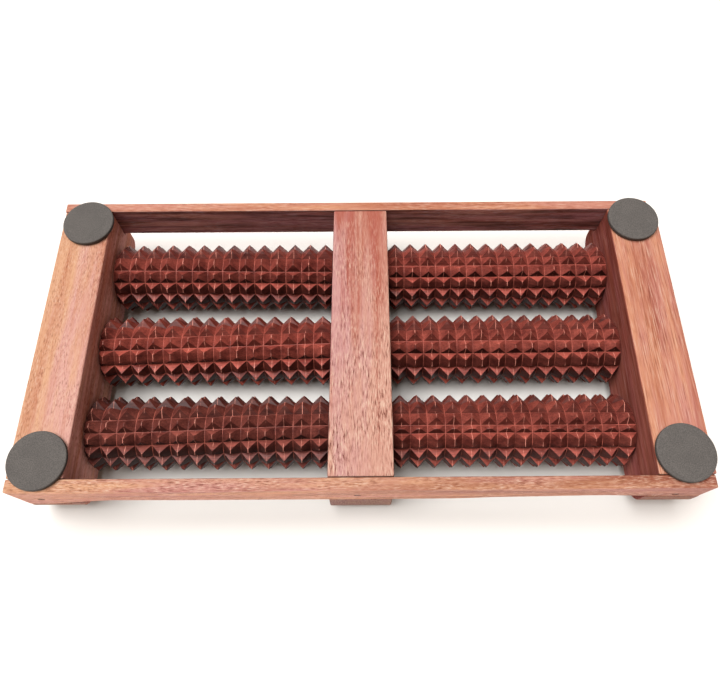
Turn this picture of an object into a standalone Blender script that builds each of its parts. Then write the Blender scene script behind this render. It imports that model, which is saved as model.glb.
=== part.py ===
"""Wooden foot massage roller: six spiked rollers on three rods in a nailed wooden frame.

The massager lies upside down, on its rollers, with the four rubber feet on top. In use it is
turned over, stands on the feet, and a pair of feet rolls over the spikes.

Axes: +X along the rollers, +Y from the front rail to the back rail, +Z up.
Origin: the middle of the frame, on the surface that the roller spikes touch.
"""

import math
import random

import bmesh
import bpy
from mathutils import Matrix

# ---------------------------------------------------------------- driving dimensions, in metres

MM = 0.001
GAP = 0.3 * MM                      # clearance between pieces that touch on the real object

FRAME_LENGTH = 301 * MM
FRAME_DEPTH = 146 * MM
BOARD_HEIGHT = 37 * MM
# The x of each board's left and right face, at the front and at the back: they were cut by eye.
BOARD_FACES = {
    "left_end_board": ((-150.5 * MM, -149.7 * MM), (-126.25 * MM, -126.25 * MM)),
    "center_divider": ((-14.9 * MM, -13.3 * MM), (13.5 * MM, 13.5 * MM)),
    "right_end_board": ((125.3 * MM, 126.2 * MM), (149.8 * MM, 150.5 * MM)),
}
# Each board's two free corners, at the front and at the back, were rounded by eye too.
BOARD_CORNER_RADII = {
    "left_end_board": (8.5 * MM, 4 * MM),
    "center_divider": (1.5 * MM, 1.5 * MM),
    "right_end_board": (11 * MM, 7 * MM),
}
BOARD_EDGE_BEVEL = 0.6 * MM

RAIL_ENDS = {
    "front_rail": (-150.5 * MM, 149.1 * MM),
    "back_rail": (-150.2 * MM, 146.9 * MM),
}
FRONT_RAIL_THICKNESS = 5.5 * MM
BACK_RAIL_THICKNESS = 5.0 * MM
RAIL_HEIGHT = 20 * MM
RAIL_EDGE_BEVEL = 0.5 * MM
# The front rail's free edge was sanded by eye: its height at places along its length.
FRONT_RAIL_HEIGHTS = [
    (-151 * MM, 26.0 * MM),
    (-140 * MM, 26.8 * MM),
    (-127 * MM, 23.0 * MM),
    (-114 * MM, 19.0 * MM),
    (-72 * MM, 20.2 * MM),
    (0 * MM, 20.8 * MM),
    (39 * MM, 20.6 * MM),
    (66 * MM, 17.6 * MM),
    (104 * MM, 15.6 * MM),
    (130 * MM, 17.6 * MM),
    (151 * MM, 18.2 * MM),
]
RAIL_STATIONS = 30                  # points along the sanded edge

AXLE_SPACING = 42 * MM
AXLE_OFFSET = 1.5 * MM              # the three rods sit a little towards the back rail
AXLE_DROP = 26 * MM                 # from the frame's feet side to the rods
ROD_RADIUS = 2.5 * MM
ROD_LENGTH = 275.4 * MM
ROD_HOLE_CLEARANCE = 0.35 * MM

TIP_RADIUS = 17.33 * MM
VALLEY_RADIUS = 13.7 * MM
RIDGE_LENGTH = 2.0 * MM             # the short ridge that each spike keeps, along the turn
ROWS_AROUND = 14
SPIKES_ALONG = 14
ROLLER_OUTER_GAP = 0.5 * MM         # between a roller and its end board
ROLLER_INNER_GAP = 0.7 * MM         # between a roller and the divider
ROLLER_BORE_RADIUS = 3.1 * MM
RING_WANDER = 0.35 * MM             # how far a hand-turned groove strays from an even pitch

FOOT_RADIUS = {"front": 12.75 * MM, "back": 12.4 * MM}
FOOT_THICKNESS = 2.5 * MM
FOOT_RIM_BEVEL = 0.4 * MM
FOOT_INSET = 13 * MM                # from the frame's outer faces to a foot's middle
# How far each foot was stuck from its even place.
FOOT_STRAY = {
    "front_left": (-0.25 * MM, 0.0 * MM),
    "front_right": (0.25 * MM, 1.55 * MM),
    "back_left": (1.2 * MM, 0.0 * MM),
    "back_right": (-0.2 * MM, 0.55 * MM),
}

NAIL_LENGTH = 24 * MM
NAIL_SHANK_RADIUS = 0.9 * MM
NAIL_HEAD_RADIUS = 1.3 * MM
NAIL_HEAD_THICKNESS = 0.8 * MM
NAIL_POINT_LENGTH = 2.4 * MM
NAIL_SET_DEPTH = 0.2 * MM           # a head sits this far below the rail's face
NAIL_SIDES = 10
# A nail's place across its board (from the board's middle) and below the feet side.
NAIL_PLACES = {
    "left_end_board": (-2.5 * MM, 15.5 * MM),
    "center_divider": (-1.5 * MM, 11.5 * MM),
    "right_end_board": (-0.5 * MM, 14.0 * MM),
}

# ---------------------------------------------------------------- places worked out from them

RIDGE_HALF_ANGLE = RIDGE_LENGTH / 2 / TIP_RADIUS
# A roller lies on two neighbouring rows of spikes, each half a row from straight down.
AXLE_HEIGHT = TIP_RADIUS * math.cos(math.pi / ROWS_AROUND - RIDGE_HALF_ANGLE)
FEET_SIDE = AXLE_HEIGHT + AXLE_DROP
AXLE_PLACES = {
    "front": AXLE_OFFSET - AXLE_SPACING,
    "middle": AXLE_OFFSET,
    "back": AXLE_OFFSET + AXLE_SPACING,
}

ALONG_X = Matrix.Rotation(math.pi / 2, 4, "Y")
ALONG_X_GROOVE_DOWN = Matrix.Rotation(-math.pi / 2, 4, "X") @ ALONG_X
OUTLINE_IN_XZ = Matrix.Rotation(math.pi / 2, 4, "X")
OUTLINE_IN_YZ = Matrix(((0, 0, 1, 0), (1, 0, 0, 0), (0, 1, 0, 0), (0, 0, 0, 1)))

WOOD_FRAME = ("frame_wood", (0.62, 0.27, 0.17), 0.55, 0.0)
WOOD_ROLLER = ("roller_wood", (0.24, 0.065, 0.04), 0.35, 0.0)
RUBBER = ("foot_rubber", (0.17, 0.16, 0.15), 0.85, 0.0)
STEEL = ("rod_steel", (0.56, 0.55, 0.53), 0.35, 1.0)
NAIL_STEEL = ("nail_steel", (0.25, 0.20, 0.17), 0.5, 1.0)


# ---------------------------------------------------------------- helpers

def clear_scene():
    """Remove whatever the file holds, so that only the massager is left."""
    for old in list(bpy.data.objects):
        bpy.data.objects.remove(old, do_unlink=True)


def new_collection(name):
    collection = bpy.data.collections.new(name)
    bpy.context.scene.collection.children.link(collection)
    return collection


def material_for(node, look):
    """One Principled material for a node, from a (name, colour, roughness, metallic) look."""
    look_name, color, roughness, metallic = look
    material = bpy.data.materials.new(f"{node}_{look_name}")
    material.use_nodes = True
    shader = material.node_tree.nodes["Principled BSDF"]
    shader.inputs["Base Color"].default_value = (*color, 1.0)
    shader.inputs["Roughness"].default_value = roughness
    shader.inputs["Metallic"].default_value = metallic
    return material


def add_part(name, mesh, collection, look, matrix=None):
    part = bpy.data.objects.new(name, mesh)
    part.matrix_world = matrix or Matrix.Identity(4)
    part.data.materials.append(material_for(name, look))
    collection.objects.link(part)
    return part


def add_cutter(name, mesh, collection, matrix):
    cutter = bpy.data.objects.new(name, mesh)
    cutter.matrix_world = matrix
    cutter.hide_render = True
    cutter.display_type = "WIRE"
    collection.objects.link(cutter)
    return cutter


def cut(part, cutter):
    modifier = part.modifiers.new(f"cut_{cutter.name}", "BOOLEAN")
    modifier.operation = "DIFFERENCE"
    modifier.solver = "EXACT"
    modifier.object = cutter


def round_edges(part, width, segments=2):
    modifier = part.modifiers.new("round_edges", "BEVEL")
    modifier.width = width
    modifier.segments = segments
    modifier.limit_method = "ANGLE"
    modifier.angle_limit = math.radians(40)


def cylinder_mesh(name, radius, length, sides):
    """A closed cylinder along Z, centred on the origin."""
    bm = bmesh.new()
    bmesh.ops.create_cone(bm, cap_ends=True, segments=sides, radius1=radius, radius2=radius,
                          depth=length)
    mesh = bpy.data.meshes.new(name)
    bm.to_mesh(mesh)
    bm.free()
    mesh.shade_smooth()
    mesh.set_sharp_from_angle(angle=math.radians(40))
    return mesh


def slab_mesh(name, outline, thickness):
    """A flat slab from a closed outline in XY, with its thickness along Z."""
    curve = bpy.data.curves.new(name, "CURVE")
    curve.dimensions = "2D"
    curve.fill_mode = "BOTH"
    curve.extrude = thickness / 2
    spline = curve.splines.new("POLY")
    spline.points.add(len(outline) - 1)
    for point, (x, y) in zip(spline.points, outline):
        point.co = (x, y, 0, 1)
    spline.use_cyclic_u = True
    holder = bpy.data.objects.new(name, curve)
    bpy.context.scene.collection.objects.link(holder)
    evaluated = holder.evaluated_get(bpy.context.evaluated_depsgraph_get())
    mesh = bpy.data.meshes.new_from_object(evaluated)
    bpy.data.objects.remove(holder, do_unlink=True)
    bm = bmesh.new()
    bm.from_mesh(mesh)
    bmesh.ops.remove_doubles(bm, verts=bm.verts, dist=0.01 * MM)
    bmesh.ops.dissolve_limit(bm, angle_limit=math.radians(1), verts=bm.verts, edges=bm.edges)
    bmesh.ops.recalc_face_normals(bm, faces=bm.faces)
    bm.to_mesh(mesh)
    bm.free()
    mesh.name = name
    return mesh


def turned_mesh(name, profile, sides):
    """A solid of revolution about Z from a profile of (radius, z), from the top axis point down."""
    bm = bmesh.new()
    verts = [bm.verts.new((radius, 0, z)) for radius, z in profile]
    edges = [bm.edges.new(pair) for pair in zip(verts, verts[1:])]
    bmesh.ops.spin(bm, geom=verts + edges, axis=(0, 0, 1), cent=(0, 0, 0), angle=2 * math.pi,
                   steps=sides, use_merge=True)
    bmesh.ops.remove_doubles(bm, verts=bm.verts, dist=0.01 * MM)
    bmesh.ops.recalc_face_normals(bm, faces=bm.faces)
    mesh = bpy.data.meshes.new(name)
    bm.to_mesh(mesh)
    bm.free()
    return mesh


def arc(center, radius, start_degrees, end_degrees, steps):
    """Points along an arc, both ends included."""
    points = []
    for step in range(steps + 1):
        angle = math.radians(start_degrees + (end_degrees - start_degrees) * step / steps)
        points.append((center[0] + radius * math.cos(angle), center[1] + radius * math.sin(angle)))
    return points


# ---------------------------------------------------------------- frame

def front_rail_height(x):
    """The front rail's height at x, eased between the places listed for it."""
    for (x0, height0), (x1, height1) in zip(FRONT_RAIL_HEIGHTS, FRONT_RAIL_HEIGHTS[1:]):
        if x <= x1:
            share = (1 - math.cos(math.pi * (x - x0) / (x1 - x0))) / 2
            return height0 + (height1 - height0) * share
    return FRONT_RAIL_HEIGHTS[-1][1]


def rail_outline(ends, height_at):
    """A rail's face in XZ: straight along the feet side, and height_at(x) deep."""
    left, right = ends
    lower_edge = []
    for station in range(RAIL_STATIONS + 1):
        x = left + (right - left) * station / RAIL_STATIONS
        lower_edge.append((x, FEET_SIDE - height_at(x)))
    return lower_edge + [(right, FEET_SIDE), (left, FEET_SIDE)]


def make_rail(name, thickness, outer_face_y, inward, height_at, parts):
    """A long rail, nailed across the ends of the three boards."""
    mesh = slab_mesh(name, rail_outline(RAIL_ENDS[name], height_at), thickness)
    place = Matrix.Translation((0, outer_face_y + inward * thickness / 2, 0)) @ OUTLINE_IN_XZ
    rail = add_part(name, mesh, parts, WOOD_FRAME, place)
    round_edges(rail, RAIL_EDGE_BEVEL)
    return rail


def face_at(faces, y):
    """The x of a board's face at y, from its places at the front and at the back."""
    front, back = faces
    return front + (back - front) * (y + FRAME_DEPTH / 2) / FRAME_DEPTH


def board_span(name, y):
    """The x of a board's left and right face at y."""
    left_face, right_face = BOARD_FACES[name]
    return face_at(left_face, y), face_at(right_face, y)


def front_rail_depth_over(name):
    """The deepest that the front rail is over a board's width."""
    low, high = board_span(name, -FRAME_DEPTH / 2)
    samples = 8
    return max(front_rail_height(low + (high - low) * step / samples) for step in range(samples + 1))


def board_outline(name):
    """A board's side in YZ: notched at both feet-side corners for the rails, rounded at the others."""
    front_radius, back_radius = BOARD_CORNER_RADII[name]
    low_z = FEET_SIDE - BOARD_HEIGHT
    half = FRAME_DEPTH / 2
    front_seat = FEET_SIDE - front_rail_depth_over(name) - GAP
    back_seat = FEET_SIDE - RAIL_HEIGHT - GAP
    front_shoulder = -half + FRONT_RAIL_THICKNESS + GAP
    back_shoulder = half - BACK_RAIL_THICKNESS - GAP
    outline = arc((-half + front_radius, low_z + front_radius), front_radius, 180, 270, 6)
    outline += arc((half - back_radius, low_z + back_radius), back_radius, 270, 360, 5)
    outline += [(half, back_seat), (back_shoulder, back_seat), (back_shoulder, FEET_SIDE)]
    outline += [(front_shoulder, FEET_SIDE), (front_shoulder, front_seat), (-half, front_seat)]
    return outline


def make_board(name, parts):
    """A board across the frame, with its two faces where they were cut."""
    mesh = slab_mesh(name, board_outline(name), MM)
    for vert in mesh.vertices:
        low, high = board_span(name, vert.co.x)
        vert.co.z = high if vert.co.z > 0 else low
    board = add_part(name, mesh, parts, WOOD_FRAME, OUTLINE_IN_YZ)
    round_edges(board, BOARD_EDGE_BEVEL)
    return board


# ---------------------------------------------------------------- rods and rollers

def make_rod(row, parts, cutters):
    """A steel rod, with the hole that it needs in the boards."""
    place = Matrix.Translation((0, AXLE_PLACES[row], AXLE_HEIGHT)) @ ALONG_X
    mesh = cylinder_mesh(f"axle_rod_{row}", ROD_RADIUS, ROD_LENGTH, 16)
    add_part(f"axle_rod_{row}", mesh, parts, STEEL, place)
    hole = cylinder_mesh(f"rod_hole_{row}", ROD_RADIUS + ROD_HOLE_CLEARANCE, ROD_LENGTH + 2 * GAP, 16)
    return add_cutter(f"rod_hole_{row}", hole, cutters, place)


def raise_spike(face):
    """Draw an extruded side panel of the roller to a short ridge around the turn."""
    center = face.calc_center_median()
    middle_angle = math.atan2(center.z, center.y)
    for vert in face.verts:
        angle = math.atan2(vert.co.z, vert.co.y)
        side = math.sin(angle - middle_angle)
        ridge_angle = middle_angle + math.copysign(RIDGE_HALF_ANGLE, side)
        vert.co.x = center.x
        vert.co.y = TIP_RADIUS * math.cos(ridge_angle)
        vert.co.z = TIP_RADIUS * math.sin(ridge_angle)


def roller_mesh(name, length, dice):
    """A roller about X: V-grooves around it and along it leave rows of four-sided spikes."""
    bm = bmesh.new()
    bmesh.ops.create_cone(bm, cap_ends=False, segments=ROWS_AROUND, radius1=VALLEY_RADIUS,
                          radius2=VALLEY_RADIUS, depth=length, matrix=ALONG_X_GROOVE_DOWN)
    lengthwise = [edge for edge in bm.edges if abs(edge.verts[0].co.x - edge.verts[1].co.x) > length / 2]
    bmesh.ops.subdivide_edges(bm, edges=lengthwise, cuts=SPIKES_ALONG - 1, use_grid_fill=True)
    pitch = length / SPIKES_ALONG
    wander = [0.0] + [dice.uniform(-RING_WANDER, RING_WANDER) for _ in range(SPIKES_ALONG - 1)] + [0.0]
    for vert in bm.verts:
        vert.co.x += wander[round((vert.co.x + length / 2) / pitch)]
    raised = bmesh.ops.extrude_discrete_faces(bm, faces=list(bm.faces))["faces"]
    for face in raised:
        raise_spike(face)
    bmesh.ops.remove_doubles(bm, verts=bm.verts, dist=0.01 * MM)
    ends = [edge for edge in bm.edges if edge.is_boundary]
    bmesh.ops.holes_fill(bm, edges=ends, sides=ROWS_AROUND)
    bmesh.ops.recalc_face_normals(bm, faces=bm.faces)
    mesh = bpy.data.meshes.new(name)
    bm.to_mesh(mesh)
    bm.free()
    return mesh


def make_rollers(parts, cutters):
    """Six rollers, two on each rod, each with its origin on the rod's axis."""
    dice = random.Random(6)
    for row, y in AXLE_PLACES.items():
        bore_mesh = cylinder_mesh(f"roller_bore_{row}", ROLLER_BORE_RADIUS, FRAME_LENGTH, 12)
        bore_place = Matrix.Translation((0, y, AXLE_HEIGHT)) @ ALONG_X
        bore = add_cutter(f"roller_bore_{row}", bore_mesh, cutters, bore_place)
        _, left_board_face = board_span("left_end_board", y)
        divider_left, divider_right = board_span("center_divider", y)
        right_board_face, _ = board_span("right_end_board", y)
        spans = {
            "left": (left_board_face + ROLLER_OUTER_GAP, divider_left - ROLLER_INNER_GAP),
            "right": (divider_right + ROLLER_INNER_GAP, right_board_face - ROLLER_OUTER_GAP),
        }
        for side, (low, high) in spans.items():
            name = f"roller_{row}_{side}"
            mesh = roller_mesh(name, high - low, dice)
            place = Matrix.Translation(((low + high) / 2, y, AXLE_HEIGHT))
            roller = add_part(name, mesh, parts, WOOD_ROLLER, place)
            cut(roller, bore)


# ---------------------------------------------------------------- nails and feet

def nail_profile(clearance):
    """A nail's outline from its head to its point, or its hole's with a clearance."""
    head = NAIL_HEAD_RADIUS + clearance
    shank = NAIL_SHANK_RADIUS + clearance
    top = NAIL_SET_DEPTH + GAP if clearance else 0.0
    under_head = -NAIL_HEAD_THICKNESS - clearance
    shoulder = -(NAIL_LENGTH - NAIL_POINT_LENGTH)
    point = -NAIL_LENGTH - 2 * clearance
    return [(0, top), (head, top), (head, under_head), (shank, under_head), (shank, shoulder), (0, point)]


def make_nails(rails, boards, parts, cutters):
    """One nail through each rail into each board's end, and the hole for it in both."""
    nail = turned_mesh("nail", nail_profile(0.0), NAIL_SIDES)
    hole = turned_mesh("nail_hole", nail_profile(GAP), NAIL_SIDES)
    for side, rail in rails.items():
        outward = -1 if side == "front" else 1
        head_up = Matrix.Rotation(-outward * math.pi / 2, 4, "X")
        head_y = outward * (FRAME_DEPTH / 2 - NAIL_SET_DEPTH)
        for board_name, board in boards.items():
            across, below = NAIL_PLACES[board_name]
            low, high = board_span(board_name, outward * FRAME_DEPTH / 2)
            place = Matrix.Translation(((low + high) / 2 + across, head_y, FEET_SIDE - below)) @ head_up
            name = f"nail_{side}_{board_name.split('_')[0]}"
            add_part(name, nail.copy(), parts, NAIL_STEEL, place)
            cutter = add_cutter(f"hole_for_{name}", hole, cutters, place)
            cut(rail, cutter)
            cut(board, cutter)


def make_feet(parts):
    """Four round rubber feet, each stuck across the joint of a rail and an end board."""
    for corner, (stray_x, stray_y) in FOOT_STRAY.items():
        front_or_back, side = corner.split("_")
        y = (FRAME_DEPTH / 2 - FOOT_INSET) * (-1 if front_or_back == "front" else 1)
        x = (FRAME_LENGTH / 2 - FOOT_INSET) * (-1 if side == "left" else 1)
        z = FEET_SIDE + GAP + FOOT_THICKNESS / 2
        mesh = cylinder_mesh(f"rubber_foot_{corner}", FOOT_RADIUS[front_or_back], FOOT_THICKNESS, 32)
        place = Matrix.Translation((x + stray_x, y + stray_y, z))
        foot = add_part(f"rubber_foot_{corner}", mesh, parts, RUBBER, place)
        round_edges(foot, FOOT_RIM_BEVEL)


# ---------------------------------------------------------------- assembly

def build():
    clear_scene()
    parts = new_collection("foot_massage_roller")
    cutters = new_collection("cutters")
    half = FRAME_DEPTH / 2
    rails = {
        "front": make_rail("front_rail", FRONT_RAIL_THICKNESS, -half, 1, front_rail_height, parts),
        "back": make_rail("back_rail", BACK_RAIL_THICKNESS, half, -1, lambda x: RAIL_HEIGHT, parts),
    }
    boards = {name: make_board(name, parts) for name in BOARD_FACES}
    for row in AXLE_PLACES:
        rod_hole = make_rod(row, parts, cutters)
        for board in boards.values():
            cut(board, rod_hole)
    make_rollers(parts, cutters)
    make_nails(rails, boards, parts, cutters)
    make_feet(parts)


build()
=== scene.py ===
"""The looks of the wooden foot massage roller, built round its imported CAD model.

The massager lies upside down on its rollers, so the four rubber feet are on top. Lengths are metres
in the CAD's frame: +X along the rollers, +Y away from the camera, +Z up.
"""

import math
import random

import bpy
import numpy as np
from mathutils import Matrix, Vector, noise


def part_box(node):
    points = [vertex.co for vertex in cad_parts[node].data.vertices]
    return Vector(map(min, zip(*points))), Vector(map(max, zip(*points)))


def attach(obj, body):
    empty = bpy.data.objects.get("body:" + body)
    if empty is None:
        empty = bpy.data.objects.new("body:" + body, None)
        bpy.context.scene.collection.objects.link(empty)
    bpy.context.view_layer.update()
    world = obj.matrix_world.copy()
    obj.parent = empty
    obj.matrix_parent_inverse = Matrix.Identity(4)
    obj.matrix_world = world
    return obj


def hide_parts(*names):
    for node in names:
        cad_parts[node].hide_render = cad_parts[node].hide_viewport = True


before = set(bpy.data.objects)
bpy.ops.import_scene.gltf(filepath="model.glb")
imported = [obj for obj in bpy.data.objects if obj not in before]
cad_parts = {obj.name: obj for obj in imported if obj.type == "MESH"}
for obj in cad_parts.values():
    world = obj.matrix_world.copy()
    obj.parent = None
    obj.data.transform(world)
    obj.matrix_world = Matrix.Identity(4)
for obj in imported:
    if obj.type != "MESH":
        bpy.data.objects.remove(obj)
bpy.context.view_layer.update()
AXLE_HEIGHT = sum(corner.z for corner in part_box("axle_rod_front")) / 2

MM = 0.001

# ---------------------------------------------------------------- camera and light

CAMERA_PLACE = Vector((-1.1, -126.1, 317.8)) * MM
CAMERA_DOWN = math.radians(64.74)       # how far below the horizon it looks
CAMERA_YAW = math.radians(-0.27)
CAMERA_ROLL = math.radians(-0.14)
CAMERA_LENS = 32.46                     # millimetres, for a sensor of SENSOR_WIDTH
SENSOR_WIDTH = 36.0
CAMERA_SHIFT = -0.0257
CAMERA_NEAREST = 0.01

LIGHT_LEVEL = 2.35                      # a white sheet in the open comes out this many times white
GLOSS_SHARE = 0.012                     # about what a surface's gloss adds to its colour
DARKEST_SURFACE = 0.003
SKYLIGHT_AXIS = Vector((-0.25, 0.05, 0.96)).normalized()
SKYLIGHT_INNER = math.radians(8)        # the overhead softbox is full this far from its middle
SKYLIGHT_OUTER = math.radians(32)       # and gone this far
SKYLIGHT_STRENGTH = 14.5
SKY_STRENGTH = 0.35                     # the weak light from everywhere else
SKY_COLOR = (1.0, 0.74, 0.56, 1.0)
SKYLIGHT_COLOR = (1.0, 1.0, 1.0, 1.0)
FLOOR_SIZE = 6.0
FLOOR_DROP = 0.05 * MM

# ---------------------------------------------------------------- hand-cut rollers

ROW_COUNT = 14
RING_COUNT = 14
GROOVE_DEPTH = 3.6 * MM
SAW_KERF = 0.36 * MM                    # half of this is a flat strip, just past a groove's middle
RIDGE_FLAT = 0.22 * MM                  # the flat strip left on top of a spike's ridge
RIDGE_LENGTH = 2.0 * MM                 # how long a usual spike's ridge is, along the turn
FLANK_STEPS = 3                         # rows of faces up each flank
FLANK_SPACING = 0.02 * MM               # the least distance between two of them
MIRROR_STEPS = 2 * FLANK_STEPS + 2      # the steps of a face and its mirror image past the ridge, added
RING_DRIFT = 0.28 * MM                  # how far a ring groove strays along the roller
RING_WOBBLE = 0.16 * MM                 # how far it weaves on its way round, at most
LEAST_WOBBLE = 0.3                      # and at least, as a share of that
ROW_WOBBLE = math.radians(0.7)          # how far a lengthwise groove weaves
ROW_WAVES = 5                           # radians of that weave along the whole roller
TIP_SPREAD = 0.18 * MM                  # how much the spikes' heights differ
SURFACE_GRAIN = 0.07 * MM               # how uneven the cut faces are
SURFACE_GRAIN_SCALE = 700               # how many such bumps there are to a metre
BORE_RADIUS = 3.1 * MM
END_ROUND = 0.7 * MM
LEAST_DOWNWARD = 0.2                    # a spike that points less down than this misses the floor
# Painted shade on the rollers: each face behind a ridge, and the side that faces front and down at rest,
# is painted darker. The painted shade turns with the roller.
PAINTED_SHADE_SIDE = Vector((0, -0.95, -0.30))   # painted shade: a roller's wood is painted darkest on this side, front and down at rest
PAINTED_SHADE_START = -0.1                       # how squarely a place looks that way where the painted shade starts
PAINTED_SHADE_FADE = 0.6                         # and how much more so where the painted shade is full
LIT_SIDE_FLANK_SHADE = 0.7                  # how much the painted shade behind each ridge counts on the lit side
SHADED_SIDE_FLANK_SHADE = 0.9                   # and how much more it counts on the shaded side
EVEN_PAINTED_SHADE = 0.5                        # the painted shade of a face that looks neither way

# Where each roller's lengthwise grooves run. grooves are the angles of those that face up and to
# the front, at the middle of the roller, in degrees from the back over the top, in steps of 5;
# the other grooves share what is left. From the left end to the right they turn by turn rows,
# evenly (bend 0) or mostly in the middle (bend 1). The left end of some rollers was sawn off
# inside a ring of spikes: end_cut is the share of that ring that is gone. tone makes the
# roller's wood lighter or darker, in red, green and blue.
ROLLER_GROOVES = {
    "roller_back_left": {
        "grooves": (75, 105, 130, 155, 180), "turn": 0.2, "bend": 0.0, "end_cut": 0.0,
        "tone": (1.00, 1.05, 1.10)},
    "roller_back_right": {
        "grooves": (75, 95, 120, 145, 170, 195), "turn": 0.0, "bend": 0.0, "end_cut": 0.0,
        "tone": (1.20, 1.25, 1.30)},
    "roller_middle_left": {
        "grooves": (80, 105, 135, 160, 185), "turn": -0.5, "bend": 0.0, "end_cut": 0.2,
        "tone": (1.28, 1.35, 1.38)},
    "roller_middle_right": {
        "grooves": (70, 95, 120, 150, 180), "turn": 0.0, "bend": 0.0, "end_cut": 0.0,
        "tone": (1.15, 1.25, 1.30)},
    "roller_front_left": {
        "grooves": (75, 100, 125, 150, 175), "turn": -0.5, "bend": 0.7, "end_cut": 0.2,
        "tone": (0.74, 0.95, 1.02)},
    "roller_front_right": {
        "grooves": (70, 95, 110, 140, 165, 195), "turn": 0.0, "bend": 0.0, "end_cut": 0.0,
        "tone": (1.08, 1.20, 1.24)},
}

# ---------------------------------------------------------------- hand-finished frame and feet

EASED_EDGE = 0.6 * MM                   # how wide the rounding of the frame's edges is
EASED_STEPS = 2
EDGE_WEAR_AND_GLINT = 0.5                         # how strongly the rounded edges are painted pale: partly rubbed wood, partly a painted highlight

# The wood of each piece of the frame:
#   grain         the axis that its grain runs along
#   inward        the way that its inner faces look
#   inner_shade_and_stain   painted shade and the wood's stain on the inner faces: their colour is multiplied by it; above 1 makes it paler, as painted light
#   streaks       how strong the dark streaks on them are
#   golden_side   how much the golden wood keeps to the +X side or, below 0, to the -X side
#   deep_side     how much the deep red keeps to the +X side and to the +Y side
#   fibres        how strongly its short fibres show
#   fibre_side    how much more they show to the -Y side
#   fibre_length  how drawn out they are
#   deep, pink and gold  its tones, as the upper faces show them in the open
FRAME_LOOKS = {
    "left_end_board": {
        "grain": "Y", "inward": (1, 0, 0), "inner_shade_and_stain": (1.65, 1.50, 1.60), "streaks": 0.3,
        "golden_side": -0.12, "deep_side": (0.0, 0.05),
        "fibres": 0.8, "fibre_side": 0.1, "fibre_length": 5,
        "deep": (206, 130, 98), "pink": (238, 182, 168), "gold": (240, 185, 148)},
    "center_divider": {
        "grain": "Y", "inward": (1, 0, 0), "inner_shade_and_stain": (0.45, 0.38, 0.42), "streaks": 0.5,
        "golden_side": 0.12, "deep_side": (0.0, 0.20),
        "fibres": 1.15, "fibre_side": 0.65, "fibre_length": 9,
        "deep": (186, 92, 75), "pink": (222, 166, 161), "gold": (227, 171, 152)},
    "right_end_board": {
        "grain": "Y", "inward": (-1, 0, 0), "inner_shade_and_stain": (0.78, 0.52, 0.60), "streaks": 0.3,
        "golden_side": 0.0, "deep_side": (0.0, 0.05),
        "fibres": 0.8, "fibre_side": 0.0, "fibre_length": 24,
        "deep": (180, 102, 80), "pink": (219, 150, 136), "gold": (231, 163, 132)},
    "front_rail": {
        "grain": "X", "inward": (0, 1, 0), "inner_shade_and_stain": (0.45, 0.35, 0.38), "streaks": 0.6,
        "golden_side": -0.05, "deep_side": (0.21, 0.0),
        "fibres": 1.1, "fibre_side": 0.0, "fibre_length": 6,
        "deep": (156, 84, 66), "pink": (215, 153, 140), "gold": (235, 177, 140)},
    "back_rail": {
        "grain": "X", "inward": (0, -1, 0), "inner_shade_and_stain": (0.98, 1.00, 1.45), "streaks": 1.0,
        "golden_side": 0.0, "deep_side": (0.03, 0.0),
        "fibres": 0.8, "fibre_side": 0.0, "fibre_length": 10,
        "deep": (190, 112, 88), "pink": (225, 158, 139), "gold": (232, 167, 131)},
}
OUTER_PAINTED_LIGHT = (2.2, 2.15, 2.3)           # painted light: how much paler the outward faces are painted than the upper ones

FOOT_SIDES = 128
FOOT_RIM = 0.5 * MM
FOOT_RIM_STEPS = 4
FOOT_CROWN = 0.15 * MM
FOOT_CROWN_RINGS = (0.85, 0.6, 0.3)     # the crown's rings, as shares of the flat top's radius
FOOT_UNDERCUT = 0.3 * MM


# ---------------------------------------------------------------- shader helpers

def srgb(red, green, blue):
    """A display colour, 0 to 255, as the linear colour that a shader takes."""
    linear = []
    for channel in (red, green, blue):
        share = channel / 255
        linear.append(share / 12.92 if share <= 0.04045 else ((share + 0.055) / 1.055) ** 2.4)
    return (*linear, 1.0)


def in_light(red, green, blue):
    """The surface colour that looks about like this display colour, in the open in this light."""
    linear = srgb(red, green, blue)[:3]
    surface = [max(channel / LIGHT_LEVEL - GLOSS_SHARE, DARKEST_SURFACE) for channel in linear]
    return (*surface, 1.0)


def add_node(tree, kind, inputs=None, **settings):
    """A new node: an input given as a socket is linked, and any other value is set."""
    node = tree.nodes.new(kind)
    for name, value in settings.items():
        setattr(node, name, value)
    for name, value in (inputs or {}).items():
        if isinstance(value, bpy.types.NodeSocket):
            tree.links.new(value, node.inputs[name])
        else:
            node.inputs[name].default_value = value
    return node


def mix_colors(tree, factor, first, second, blend="MIX"):
    """The mixed colour's socket; factor and both colours may be sockets or values."""
    node = add_node(tree, "ShaderNodeMix", {0: factor, 6: first, 7: second}, data_type="RGBA",
                    blend_type=blend)
    return node.outputs[2]


def calculate(tree, operation, first, second=0.0):
    """The socket of a sum, difference, product and so on of two sockets or values."""
    node = add_node(tree, "ShaderNodeMath", {0: first, 1: second}, operation=operation)
    return node.outputs[0]


def ramp(tree, factor, *stops):
    """A value from 0 to 1 turned into colours or greys at (position, colour or grey) stops."""
    node = add_node(tree, "ShaderNodeValToRGB", {"Fac": factor})
    elements = node.color_ramp.elements
    while len(elements) < len(stops):
        elements.new(0.5)
    for element, (position, color) in zip(elements, stops):
        element.position = position
        element.color = color if isinstance(color, tuple) else (color, color, color, 1.0)
    return node.outputs["Color"]


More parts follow.
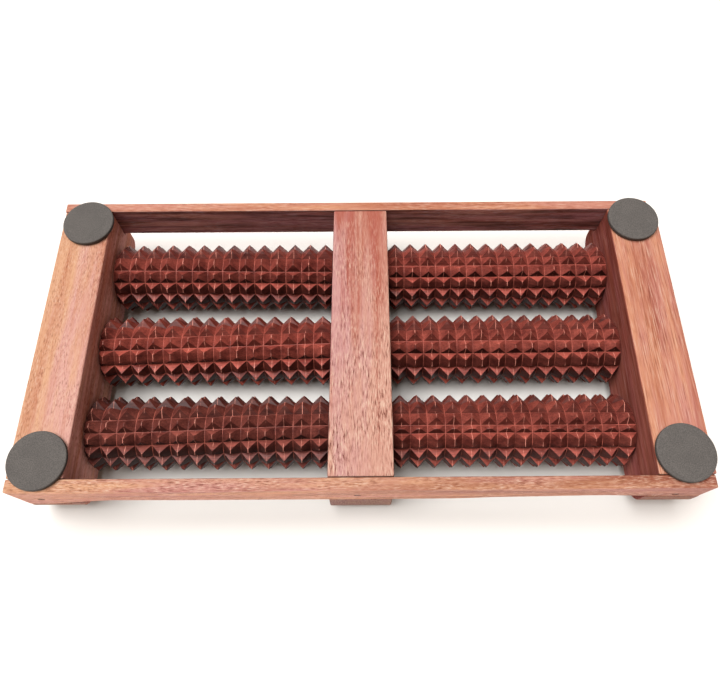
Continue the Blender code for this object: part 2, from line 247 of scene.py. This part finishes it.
def stretched_noise(tree, stretch, scale, detail=3.0, roughness=0.55, distortion=0.0):
    """Noise in the piece's own coordinates, drawn out by dividing each axis by its stretch."""
    place = add_node(tree, "ShaderNodeTexCoord").outputs["Object"]
    squeeze = tuple(1 / amount for amount in stretch)
    mapped = add_node(tree, "ShaderNodeMapping", {"Vector": place, "Scale": squeeze})
    cloud = add_node(tree, "ShaderNodeTexNoise",
                     {"Vector": mapped.outputs["Vector"], "Scale": scale, "Detail": detail,
                      "Roughness": roughness, "Distortion": distortion})
    return cloud.outputs["Fac"]


def attribute(tree, name):
    """The socket of a number that is stored on the mesh."""
    return add_node(tree, "ShaderNodeAttribute", attribute_name=name).outputs["Fac"]


def facing(tree, direction):
    """How squarely the surface faces a direction, from 1 to -1 for away from it."""
    normal = add_node(tree, "ShaderNodeNewGeometry").outputs["True Normal"]
    node = add_node(tree, "ShaderNodeVectorMath", {0: normal, 1: direction}, operation="DOT_PRODUCT")
    return node.outputs["Value"]


def toward(tree, box, axis, amount):
    """A value that goes evenly from -amount to amount along an axis of a piece's box."""
    place = add_node(tree, "ShaderNodeTexCoord").outputs["Object"]
    axes = add_node(tree, "ShaderNodeSeparateXYZ", {"Vector": place})
    start, end = [getattr(corner, axis.lower()) for corner in box]
    node = add_node(tree, "ShaderNodeMapRange",
                    {"Value": axes.outputs[axis], "From Min": start, "From Max": end,
                     "To Min": -amount, "To Max": amount})
    return node.outputs["Result"]


def new_material(name):
    """A material with an empty Principled shader; returns the material, its tree and the shader."""
    material = bpy.data.materials.new(name)
    material.use_nodes = True
    return material, material.node_tree, material.node_tree.nodes["Principled BSDF"]


def set_finish(tree, shader, color, roughness, bump_height, bump_distance):
    """Link a colour, a roughness and a bump to a shader."""
    tree.links.new(color, shader.inputs["Base Color"])
    tree.links.new(roughness, shader.inputs["Roughness"])
    bump = add_node(tree, "ShaderNodeBump", {"Height": bump_height, "Strength": 1.0,
                                             "Distance": bump_distance})
    tree.links.new(bump.outputs["Normal"], shader.inputs["Normal"])


# ---------------------------------------------------------------- piece helpers

def nodes_called(start):
    """The names of the CAD nodes that start with a word."""
    return [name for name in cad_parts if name.startswith(start)]


def set_materials(piece, *materials):
    """Give a piece these materials and no others."""
    piece.data.materials.clear()
    for material in materials:
        piece.data.materials.append(material)


def add_piece(name, mesh, body, node):
    """A visible piece that rides a body and stands for a CAD node."""
    piece = bpy.data.objects.new(name, mesh)
    bpy.context.scene.collection.objects.link(piece)
    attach(piece, body)
    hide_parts(node)
    return piece


def store_floats(mesh, name, values):
    """Store a number for each face of a mesh, for its material to read."""
    layer = mesh.attributes.new(name, "FLOAT", "FACE")
    layer.data.foreach_set("value", np.asarray(values, dtype=np.float32))


# ---------------------------------------------------------------- where a roller's cuts are

def groove_to_groove(width, depth):
    """Places from one groove to the next, as a share of the width, with the flank's height at each."""
    run = width / 2 - SAW_KERF / 2 - RIDGE_FLAT / 2
    rise = min(depth, run)
    heights = [rise * step / FLANK_STEPS for step in range(FLANK_STEPS + 1)]
    places = [SAW_KERF / 2 + height * run / rise for height in heights]
    half = [(0.0, 0.0)] + [(place / width, height) for place, height in zip(places, heights)]
    return half + [(1 - place, height) for place, height in reversed(half[1:])]


def across_row(width, depth, slope):
    """The same across a row: its flanks are steeper, and leave a short ridge between them."""
    half_width = width / 2
    half = [(0.0, 0.0), (SAW_KERF / 2 / width, 0.0)]
    for step in range(1, FLANK_STEPS + 1):
        height = depth * step / FLANK_STEPS
        place = SAW_KERF / 2 + height / slope
        room = half_width - RIDGE_FLAT / 2 - (FLANK_STEPS - step) * FLANK_SPACING
        if place > room:
            place = room
            height = (room - SAW_KERF / 2) * slope
        half.append((place / width, height))
    return half + [(1 - place, height) for place, height in reversed(half[1:])]


def numbered(profile, index):
    """A profile's points but its last, the next groove's edge: (index, share, height, step)."""
    return [(index, share, height, step) for step, (share, height) in enumerate(profile[:-1])]


def row_widths(angles):
    """The angles between one lengthwise groove and the next, all the way round, in degrees."""
    uneven = [after - before for before, after in zip(angles, angles[1:])]
    even = (360 - sum(uneven)) / (ROW_COUNT - len(uneven))
    return uneven + [even] * (ROW_COUNT - len(uneven))


class Roller:
    """A turned cylinder, with V-grooves cut round it and along it by hand and eye."""

    def __init__(self, name, grooves):
        low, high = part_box(name)
        self.grooves = grooves
        self.left, self.right = low.x, high.x
        self.length = high.x - low.x
        self.axis_y = (low.y + high.y) / 2
        self.tip_radius = (high.y - low.y) / 2
        self.pitch = self.length / (RING_COUNT - grooves["end_cut"])
        self.widths = row_widths(grooves["grooves"])
        first = math.radians(grooves["grooves"][0])
        self.starts = [first + math.radians(sum(self.widths[:row])) for row in range(ROW_COUNT + 1)]
        self.draw_cuts(random.Random(name))
        self.stations = self.places_along()
        self.around = self.places_around()

    def draw_cuts(self, dice):
        """Where the ring grooves are, how all grooves weave and how short each spike is."""
        self.lines = [self.right - self.pitch * (RING_COUNT - ring) for ring in range(RING_COUNT + 1)]
        for ring in range(1, RING_COUNT):
            self.lines[ring] += dice.uniform(-RING_DRIFT, RING_DRIFT)
        self.ring_weave = [(dice.uniform(LEAST_WOBBLE, 1) * RING_WOBBLE, dice.uniform(0, 2 * math.pi))
                           for _ in self.lines]
        self.ring_weave[0] = self.ring_weave[-1] = (0.0, 0.0)
        self.row_weave = [(dice.uniform(-1, 1) * ROW_WOBBLE, dice.uniform(0, 2 * math.pi))
                          for _ in self.widths]
        self.lost_height = {(ring, row): dice.uniform(0, 1) ** 2 * TIP_SPREAD
                            for ring in range(RING_COUNT) for row in range(ROW_COUNT)}

    def places_along(self):
        """(ring, share of the way to the next, height, step) of each cross-section, left to right."""
        stations = []
        for ring in range(RING_COUNT):
            width = self.lines[ring + 1] - self.lines[ring]
            stations += numbered(groove_to_groove(width, GROOVE_DEPTH), ring)
        stations.append((RING_COUNT - 1, 1.0, 0.0, 0))
        end_cut = self.grooves["end_cut"]
        if end_cut:
            gone = [station for station in stations if station[0] == 0 and station[1] <= end_cut]
            stations = stations[len(gone):]
            _, next_share, next_height, _ = stations[0]
            height_at_cut = next_height - (next_share - end_cut) * self.pitch
            stations.insert(0, (0, end_cut, height_at_cut, gone[-1][3]))
        return stations

    def places_around(self):
        """(row, share of the way to the next, height, step) of each point round a cross-section."""
        usual_half = math.pi / ROW_COUNT * self.tip_radius
        slope = GROOVE_DEPTH / (usual_half - SAW_KERF / 2 - RIDGE_LENGTH / 2)
        around = []
        for row, width in enumerate(self.widths):
            profile = across_row(math.radians(width) * self.tip_radius, GROOVE_DEPTH, slope)
            around += numbered(profile, row)
        return around

    def angle_at(self, row, share):
        """The angle at a share of the way from one groove to the next, before it turns or weaves."""
        return self.starts[row] + share * (self.starts[row + 1] - self.starts[row])

    def turn_at(self, share):
        """How far the lengthwise grooves have turned at a share of the length, in radians."""
        even = share - 0.5
        eased = share * share * (3 - 2 * share) - 0.5
        bend = self.grooves["bend"]
        return self.grooves["turn"] * 2 * math.pi / ROW_COUNT * ((1 - bend) * even + bend * eased)

    def at(self, x, radius, angle):
        """A point at a radius and an angle round the rod."""
        return (x, self.axis_y + radius * math.cos(angle), AXLE_HEIGHT + radius * math.sin(angle))

    def surface_point(self, station, spot):
        """The point of the cut surface at a place along the roller and a place round it."""
        ring, share, ring_height, _ = station
        row, row_share, row_height, _ = spot
        angle = self.angle_at(row, row_share)
        swing = [amount * math.sin(angle + start)
                 for amount, start in (self.ring_weave[ring], self.ring_weave[ring + 1])]
        x = (1 - share) * (self.lines[ring] + swing[0]) + share * (self.lines[ring + 1] + swing[1])
        along = (x - self.left) / self.length
        stray = [amount * math.sin(ROW_WAVES * along + start)
                 for amount, start in (self.row_weave[row], self.row_weave[(row + 1) % ROW_COUNT])]
        angle += self.turn_at(along) + (1 - row_share) * stray[0] + row_share * stray[1]
        height = min(ring_height, row_height, GROOVE_DEPTH - self.lost_height[ring, row])
        radius = self.tip_radius - GROOVE_DEPTH + height
        grain_place = Vector((x, radius * math.cos(angle), radius * math.sin(angle)))
        radius += SURFACE_GRAIN * noise.noise(grain_place * SURFACE_GRAIN_SCALE)
        radius_at_floor = AXLE_HEIGHT / max(-math.sin(angle), LEAST_DOWNWARD)
        return self.at(x, min(radius, radius_at_floor), angle)

    def painted_shade_on(self, face):
        """How much painted shade a face gets: more behind each ridge, and on the roller's shaded side."""
        one, two, three = (Vector(corner) for corner in face[:3])
        normal = (two - one).cross(three - one)
        if normal.length == 0:
            return EVEN_PAINTED_SHADE
        normal.normalize()
        middle = (one + two + three) / 3
        outward = Vector((0, middle.y - self.axis_y, middle.z - AXLE_HEIGHT)).normalized()
        onward = Vector((0, -outward.z, outward.y))
        shade_behind_ridge = 0.5 + 0.5 * normal.dot(onward) * math.copysign(1, normal.dot(outward))
        on_shaded_side = min(max((outward.dot(PAINTED_SHADE_SIDE) - PAINTED_SHADE_START) / PAINTED_SHADE_FADE, 0.0), 1.0)
        return min(shade_behind_ridge * (LIT_SIDE_FLANK_SHADE + SHADED_SIDE_FLANK_SHADE * on_shaded_side), 1.0)


# ---------------------------------------------------------------- roller mesh

def split_patch(ring_step, row_step, bottom):
    """How a four-cornered patch is cut into faces: along the spike's edge, where one crosses it."""
    if ring_step == row_step and not bottom:
        return [(0, 1, 2), (0, 2, 3)]
    if ring_step == MIRROR_STEPS - row_step and not bottom:
        return [(0, 1, 3), (1, 2, 3)]
    return [(0, 1, 2, 3)]


def cut_faces(roller):
    """The faces of the cut surface, each as (corners, in a groove's bottom, on a ridge)."""
    count = len(roller.around)
    faces = []
    for s in range(len(roller.stations) - 1):
        ring_step = roller.stations[s][3]
        for a in range(count):
            row_step = roller.around[a][3]
            after = (a + 1) % count
            corners = [s * count + a, (s + 1) * count + a, (s + 1) * count + after, s * count + after]
            bottom = ring_step == 0 or row_step == 0
            ridge = ring_step == FLANK_STEPS + 1 and row_step > 0
            for picks in split_patch(ring_step, row_step, bottom):
                faces.append(([corners[pick] for pick in picks], bottom, ridge))
    return faces


def add_ends(roller, verts):
    """Close each end with a rounded shoulder, a flat face and the bore's wall; returns the faces."""
    def add_loop(x, radius):
        start = len(verts)
        for row, share, _, _ in roller.around:
            verts.append(roller.at(x, radius, roller.angle_at(row, share)))
        return start

    count = len(roller.around)
    shoulder = roller.tip_radius - GROOVE_DEPTH - END_ROUND
    left = [0, add_loop(roller.left, shoulder), add_loop(roller.left, BORE_RADIUS)]
    right = [(len(roller.stations) - 1) * count,
             add_loop(roller.right, shoulder), add_loop(roller.right, BORE_RADIUS)]
    faces = []
    for one, other in ((left[1], left[0]), (left[2], left[1]), (right[0], right[1]),
                       (right[1], right[2]), (right[2], left[2])):
        for a in range(count):
            b = (a + 1) % count
            faces.append([one + a, other + a, other + b, one + b])
    return faces


def roller_mesh(name, grooves):
    """A roller's mesh, with each face's place on the spikes and its painted shade stored for the
    material.
    """
    roller = Roller(name, grooves)
    verts = [roller.surface_point(station, spot) for station in roller.stations for spot in roller.around]
    cuts = cut_faces(roller)
    painted_shade = [roller.painted_shade_on([verts[corner] for corner in face]) for face, _, _ in cuts]
    ends = add_ends(roller, verts)

    mesh = bpy.data.meshes.new(name + "_hand_cut")
    mesh.from_pydata(verts, [], [face for face, _, _ in cuts] + ends)
    mesh.validate()
    nowhere = [0.0] * len(ends)
    store_floats(mesh, "groove_bottom", [float(bottom) for _, bottom, _ in cuts] + nowhere)
    store_floats(mesh, "ridge_top", [float(ridge) for _, _, ridge in cuts] + nowhere)
    store_floats(mesh, "painted_shade", painted_shade + [EVEN_PAINTED_SHADE] * len(ends))
    return mesh


# ---------------------------------------------------------------- materials

def roller_wood(name, tone):
    """Dark red-brown wood with painted shade and painted light on its flanks, a painted glint on the
    spikes' ridges and paler lines at the bottom of the grooves.
    """
    material, tree, shader = new_material(name)
    blotches = stretched_noise(tree, (2, 1, 1), 170, detail=4, roughness=0.6)
    fibres = stretched_noise(tree, (8, 1, 1), 1700, detail=3, roughness=0.65)
    color = ramp(tree, blotches, (0.3, srgb(82, 32, 27)), (0.7, srgb(134, 62, 51)))
    color = mix_colors(tree, 0.7, color, ramp(tree, fibres, (0.36, 0.42), (0.62, 1.0)), "MULTIPLY")
    # painted light on the upward flanks, painted shade behind the ridges and on the roller's shaded side
    painted_shade = ramp(tree, attribute(tree, "painted_shade"), (0.1, 1.25), (0.5, 0.66), (0.9, 0.10))
    color = mix_colors(tree, 1.0, color, painted_shade, "MULTIPLY")
    color = mix_colors(tree, 1.0, color, (*tone, 1.0), "MULTIPLY")

    patches = stretched_noise(tree, (1, 1, 1), 230, detail=3)
    # paler lines along the groove bottoms, in patches
    pale_groove_line = calculate(tree, "MULTIPLY", attribute(tree, "groove_bottom"),
                     ramp(tree, patches, (0.38, 0.05), (0.62, 0.6)))
    color = mix_colors(tree, pale_groove_line, color, srgb(176, 96, 80))
    # painted glint along the spikes' ridges, in patches
    rubbed_and_glint = calculate(tree, "MULTIPLY", attribute(tree, "ridge_top"),
                       ramp(tree, patches, (0.42, 0.0), (0.62, 0.8)))
    color = mix_colors(tree, rubbed_and_glint, color, srgb(205, 135, 118))
    roughness = ramp(tree, blotches, (0.3, 0.34), (0.7, 0.52))
    shader.inputs["Specular IOR Level"].default_value = 0.12
    set_finish(tree, shader, color, roughness, fibres, bump_distance=0.10 * MM)
    return material


def grain_noise(tree, looks, length, scale, detail, roughness=0.6, distortion=0.0):
    """Noise drawn out along a frame piece's grain."""
    stretch = (length, 1, 1) if looks["grain"] == "X" else (1, length, 1)
    return stretched_noise(tree, stretch, scale, detail, roughness, distortion)


def wood_bands(tree, box, looks):
    """Broad bands of pink, golden and deep red wood; returns the colour and the bands' noise."""
    deep, pink, gold = (in_light(*looks[tone]) for tone in ("deep", "pink", "gold"))
    hue = calculate(tree, "ADD", grain_noise(tree, looks, 9, 130, detail=4),
                    toward(tree, box, "X", looks["golden_side"]))
    color = mix_colors(tree, ramp(tree, hue, (0.40, 0.0), (0.61, 1.0)), pink, gold)
    bands = grain_noise(tree, looks, 16, 210, detail=4, distortion=0.6)
    for axis, amount in zip("XY", looks["deep_side"]):
        bands = calculate(tree, "SUBTRACT", bands, toward(tree, box, axis, amount))
    return mix_colors(tree, ramp(tree, bands, (0.30, 0.75), (0.56, 0.0)), color, deep), bands


def wood_fibres(tree, box, looks, color, patches):
    """Add short dark and pale fibres to a colour, stronger in patches; returns it and their noise."""
    clear = calculate(tree, "SUBTRACT", looks["fibres"], toward(tree, box, "Y", looks["fibre_side"]))
    strength = calculate(tree, "MULTIPLY", ramp(tree, patches, (0.36, 0.35), (0.60, 1.0)), clear)
    fibres = grain_noise(tree, looks, looks["fibre_length"], 1900, detail=3, roughness=0.7)
    dark = calculate(tree, "MULTIPLY", ramp(tree, fibres, (0.32, 0.8), (0.49, 0.0)), strength)
    pale = calculate(tree, "MULTIPLY", ramp(tree, fibres, (0.51, 0.0), (0.68, 0.8)), strength)
    color = mix_colors(tree, dark, color, in_light(122, 68, 57))
    return mix_colors(tree, pale, color, in_light(248, 214, 190)), fibres


def wood_faces(tree, name, looks, color, inner_share):
    """Paint shade and stain on the inner faces and painted light on the outward ones; returns the colour
    and where it is inner.
    """
    inner = facing(tree, looks["inward"])
    if name.startswith("center"):
        inner = calculate(tree, "ABSOLUTE", inner)
    # painted shade on the inner faces, partly the wood's own darker stain; where the factor is above 1 it
    # is painted light
    on_inner = ramp(tree, inner, (0.75, 0.0), (0.95, inner_share))
    color = mix_colors(tree, on_inner, color, (*looks["inner_shade_and_stain"], 1.0), "MULTIPLY")
    streaks = ramp(tree, grain_noise(tree, looks, 14, 420, detail=4), (0.36, 0.45), (0.60, 1.25))
    on_streaks = calculate(tree, "MULTIPLY", on_inner, looks["streaks"])
    color = mix_colors(tree, on_streaks, color, streaks, "MULTIPLY")
    # painted light on the outward faces
    on_outer = ramp(tree, calculate(tree, "MULTIPLY", inner, -1.0), (0.75, 0.0), (0.95, 1.0))
    return mix_colors(tree, on_outer, color, (*OUTER_PAINTED_LIGHT, 1.0), "MULTIPLY"), on_inner


def frame_wood(name, box, looks, edge_wear_and_glint=0.0):
    """Oiled hardwood; a weight above 0 is for the rounded edges, painted pale: partly rubbed wood, partly
    a painted highlight.
    """
    material, tree, shader = new_material(name)
    color, bands = wood_bands(tree, box, looks)
    patches = grain_noise(tree, looks, 3, 120, detail=2)
    color, fibres = wood_fibres(tree, box, looks, color, patches)
    color, on_inner = wood_faces(tree, name, looks, color, inner_share=0.3 if edge_wear_and_glint else 1.0)
    if edge_wear_and_glint:
        # the rounded edges painted pale, partly rubbed wood and partly a painted highlight
        rubbed_and_glint = calculate(tree, "MULTIPLY", ramp(tree, patches, (0.35, 0.4), (0.55, 1.0)), edge_wear_and_glint)
        color = mix_colors(tree, rubbed_and_glint, color, in_light(246, 206, 184))
    roughness = ramp(tree, bands, (0.3, 0.42), (0.7, 0.55))
    roughness = mix_colors(tree, on_inner, roughness, (1.0, 1.0, 1.0, 1.0))
    shader.inputs["Specular IOR Level"].default_value = 0.06
    set_finish(tree, shader, color, roughness, fibres, bump_distance=0.06 * MM)
    return material


def foam_rubber(name):
    """Matt grey foam rubber with fine cells."""
    material, tree, shader = new_material(name)
    cells = stretched_noise(tree, (1, 1, 1), 2200, detail=3, roughness=0.7)
    clouds = stretched_noise(tree, (1, 1, 1), 110, detail=3)
    color = ramp(tree, cells, (0.3, in_light(84, 80, 77)), (0.7, in_light(134, 128, 123)))
    color = mix_colors(tree, 0.6, color, ramp(tree, clouds, (0.3, 0.75), (0.7, 1.0)), "MULTIPLY")
    roughness = ramp(tree, cells, (0.3, 0.8), (0.7, 0.95))
    set_finish(tree, shader, color, roughness, cells, bump_distance=0.08 * MM)
    return material


def drawn_steel(name, bright, dull):
    """Metal with fine scratches along X."""
    material, tree, shader = new_material(name)
    scratches = stretched_noise(tree, (12, 1, 1), 900, detail=3)
    color = ramp(tree, scratches, (0.35, dull), (0.65, bright))
    shader.inputs["Metallic"].default_value = 0.9
    roughness = ramp(tree, scratches, (0.3, 0.25), (0.7, 0.5))
    set_finish(tree, shader, color, roughness, scratches, bump_distance=0.01 * MM)
    return material


def floor_paper():
    """Pale matt paper with faint clouds."""
    material, tree, shader = new_material("floor_paper")
    clouds = stretched_noise(tree, (1, 1, 1), 6, detail=2)
    color = ramp(tree, clouds, (0.3, srgb(192, 189, 185)), (0.7, srgb(195, 192, 188)))
    roughness = ramp(tree, clouds, (0.3, 0.7), (0.7, 0.75))
    set_finish(tree, shader, color, roughness, clouds, bump_distance=0.0)
    return material


# ---------------------------------------------------------------- frame, rods and nails

def dress_frame():
    """Ease the edges of the five pieces of wood; the wood along them is painted lighter, partly as rubbed
    wood and partly as a painted highlight.
    """
    for node, looks in FRAME_LOOKS.items():
        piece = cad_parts[node]
        set_materials(piece, frame_wood(node + "_wood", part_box(node), looks),
                      frame_wood(node + "_edge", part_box(node), looks, edge_wear_and_glint=EDGE_WEAR_AND_GLINT))
        bevel = piece.modifiers.new("eased edges", "BEVEL")
        bevel.width = EASED_EDGE
        bevel.segments = EASED_STEPS
        bevel.limit_method = "ANGLE"
        bevel.angle_limit = math.radians(40)
        bevel.material = 1


def dress_small_parts():
    """The rods are bright steel, and the nails are dull and rusty."""
    rod = drawn_steel("rod_steel", srgb(190, 188, 184), srgb(130, 126, 120))
    nail = drawn_steel("nail_steel", srgb(150, 112, 94), srgb(96, 66, 54))
    for start, looks in (("axle_rod", rod), ("nail", nail)):
        for node in nodes_called(start):
            set_materials(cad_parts[node], looks)


# ---------------------------------------------------------------- rollers and feet

def build_rollers():
    for node, grooves in ROLLER_GROOVES.items():
        mesh = roller_mesh(node, grooves)
        mesh.materials.append(roller_wood(node + "_wood", grooves["tone"]))
        add_piece(node + "_hand_cut", mesh, node + "_body", node)


def foot_profile(low, high):
    """(radius, z) up the side of a foot, over its rim and in towards the middle of its crown."""
    radius = (high.x - low.x) / 2
    shoulder = high.z - FOOT_CROWN - FOOT_RIM
    profile = [(radius - FOOT_UNDERCUT, low.z), (radius, low.z + 2 * FOOT_UNDERCUT), (radius, shoulder)]
    for step in range(1, FOOT_RIM_STEPS + 1):
        angle = math.pi / 2 * step / FOOT_RIM_STEPS
        profile.append((radius - FOOT_RIM * (1 - math.cos(angle)), shoulder + FOOT_RIM * math.sin(angle)))
    top_radius = profile[-1][0]
    for share in FOOT_CROWN_RINGS:
        profile.append((top_radius * share, high.z - FOOT_CROWN * share ** 2))
    return profile


def foot_mesh(name):
    """A die-cut pad of foam rubber: a soft rim, a slight crown and sides drawn in at the glue."""
    low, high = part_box(name)
    center = (low + high) / 2
    profile = foot_profile(low, high)
    verts, faces = [], []
    for radius, z in profile:
        for side in range(FOOT_SIDES):
            angle = 2 * math.pi * side / FOOT_SIDES
            verts.append((center.x + radius * math.cos(angle), center.y + radius * math.sin(angle), z))
    for ring in range(len(profile) - 1):
        one, other = ring * FOOT_SIDES, (ring + 1) * FOOT_SIDES
        for side in range(FOOT_SIDES):
            after = (side + 1) % FOOT_SIDES
            faces.append((one + side, one + after, other + after, other + side))
    top = len(verts)
    verts.append((center.x, center.y, high.z))
    last = (len(profile) - 1) * FOOT_SIDES
    faces += [(last + side, last + (side + 1) % FOOT_SIDES, top) for side in range(FOOT_SIDES)]
    faces.append(tuple(reversed(range(FOOT_SIDES))))

    mesh = bpy.data.meshes.new(name + "_pad")
    mesh.from_pydata(verts, [], faces)
    mesh.shade_smooth()
    mesh.set_sharp_from_angle(angle=math.radians(50))
    return mesh


def build_feet():
    rubber = foam_rubber("foot_foam")
    for node in nodes_called("rubber_foot"):
        mesh = foot_mesh(node)
        mesh.materials.append(rubber)
        add_piece(node + "_pad", mesh, "frame", node)


# ---------------------------------------------------------------- floor, light and camera

def build_floor():
    mesh = bpy.data.meshes.new("floor")
    half = FLOOR_SIZE / 2
    corners = [(-half, -half), (half, -half), (half, half), (-half, half)]
    mesh.from_pydata([(x, y, -FLOOR_DROP) for x, y in corners], [], [(0, 1, 2, 3)])
    floor = bpy.data.objects.new("floor", mesh)
    floor.data.materials.append(floor_paper())
    bpy.context.scene.collection.objects.link(floor)


def light_scene():
    """A round overhead softbox in a weak warm sky."""
    scene = bpy.context.scene
    scene.view_settings.view_transform = "Standard"
    world = bpy.data.worlds.new("studio")
    world.use_nodes = True
    tree = world.node_tree
    background = tree.nodes["Background"]
    direction = add_node(tree, "ShaderNodeTexCoord").outputs["Generated"]
    closeness = add_node(tree, "ShaderNodeVectorMath", {0: direction, 1: SKYLIGHT_AXIS},
                         operation="DOT_PRODUCT").outputs["Value"]
    strength = add_node(tree, "ShaderNodeMapRange",
                        {"Value": closeness, "From Min": math.cos(SKYLIGHT_OUTER),
                         "From Max": math.cos(SKYLIGHT_INNER), "To Min": SKY_STRENGTH,
                         "To Max": SKYLIGHT_STRENGTH}, interpolation_type="SMOOTHSTEP").outputs["Result"]
    tree.links.new(strength, background.inputs["Strength"])
    share = calculate(tree, "DIVIDE", strength, SKYLIGHT_STRENGTH)
    color = mix_colors(tree, ramp(tree, share, (0.0, 0.0), (0.3, 1.0)), SKY_COLOR, SKYLIGHT_COLOR)
    tree.links.new(color, background.inputs["Color"])
    scene.world = world


def add_camera():
    data = bpy.data.cameras.new("camera")
    data.sensor_width = SENSOR_WIDTH
    data.lens = CAMERA_LENS
    data.shift_y = CAMERA_SHIFT
    data.clip_start = CAMERA_NEAREST
    camera = bpy.data.objects.new("camera", data)
    turn = Matrix.Rotation(CAMERA_YAW, 4, "Z") @ Matrix.Rotation(math.pi / 2 - CAMERA_DOWN, 4, "X")
    camera.matrix_world = Matrix.Translation(CAMERA_PLACE) @ turn @ Matrix.Rotation(CAMERA_ROLL, 4, "Z")
    bpy.context.scene.collection.objects.link(camera)
    bpy.context.scene.camera = camera


dress_frame()
dress_small_parts()
build_rollers()
build_feet()
build_floor()
light_scene()
add_camera()
